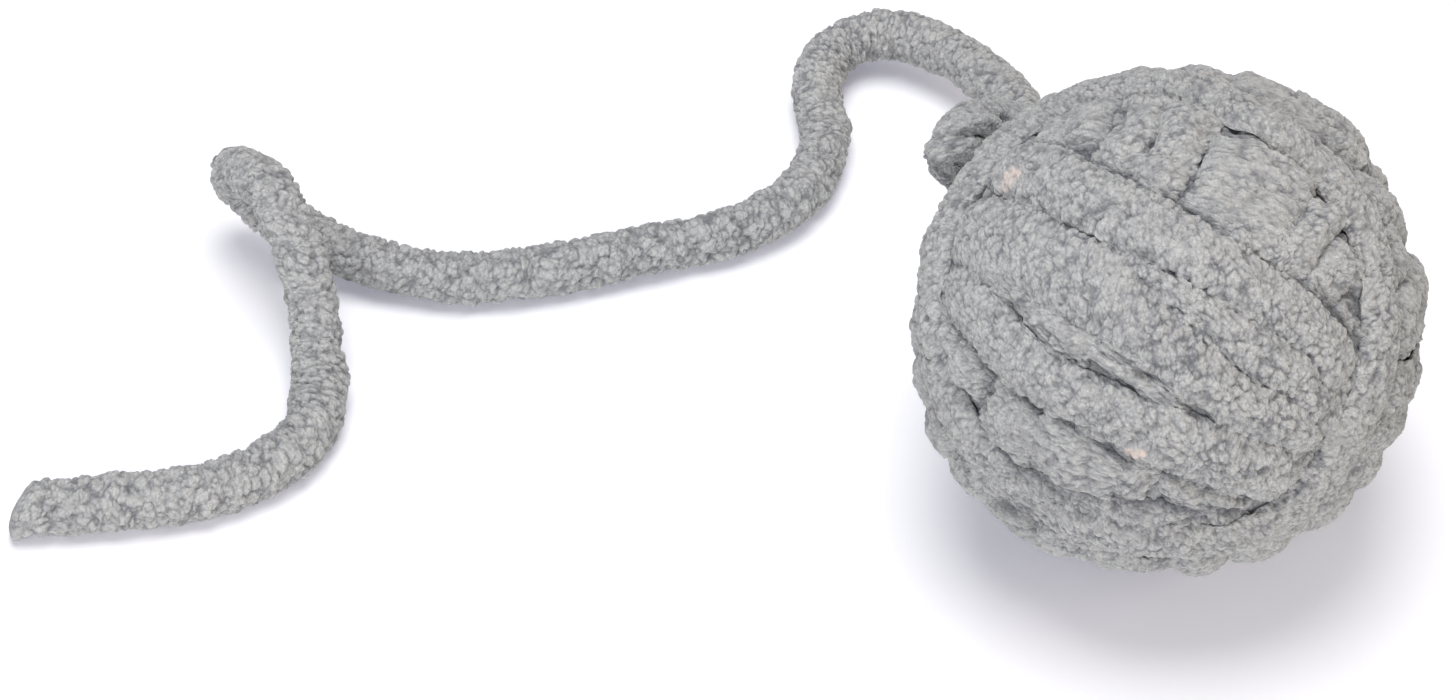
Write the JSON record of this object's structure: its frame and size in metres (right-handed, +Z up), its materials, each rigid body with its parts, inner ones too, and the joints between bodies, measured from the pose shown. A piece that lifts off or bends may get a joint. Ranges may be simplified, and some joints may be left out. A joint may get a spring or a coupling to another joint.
{
  "type": "cat ball toy with cord",
  "caption": "Soft cat toy: a ball of thick grey chenille yarn wound in crossing layers on a foam core, knotted into a limp tail of the same yarn to drag and chase.",
  "frame": {"origin": "on the floor under the middle of the ball", "axes": "+Z up; the front of the ball, as pictured, faces -Y, and the tail lies towards -X behind and beside it"},
  "size_m": [0.2206, 0.1428, 0.0775],
  "materials": {
    "yarn": "matte, soft tufted chenille pile",
    "foam": "matte foam"
  },
  "bodies": {
    "ball": {"foam_core": "foam", "inner_winding": "yarn", "under_winding": "yarn", "crown_winding": "yarn", "belt_winding": "yarn", "knot": "yarn"},
    "arch": {"tail_arch": "yarn"},
    "run": {"tail_run": "yarn"},
    "hairpin": {"tail_hairpin": "yarn"},
    "end": {"tail_end": "yarn"}
  },
  "joints": [
    {"name": "tail_swing", "type": "hinge", "parent": "ball", "child": "arch", "pos_m": [-0.02162, 0.03906, 0.04214], "axis": [0, 0, 1], "range_deg": [-30, 40]},
    {"name": "tail_bend", "type": "hinge", "parent": "arch", "child": "run", "pos_m": [-0.067, 0.0545, 0.0044], "axis": [0, 0, 1], "range_deg": [-40, 40]},
    {"name": "tail_lift", "type": "hinge", "parent": "run", "child": "hairpin", "pos_m": [-0.102, 0.0445, 0.0044], "axis": [0, 1, 0], "range_deg": [0, 40]},
    {"name": "tail_flick", "type": "hinge", "parent": "hairpin", "child": "end", "pos_m": [-0.1395, 0.043, 0.0188], "axis": [0, 0, 1], "range_deg": [-40, 30]}
  ]
}
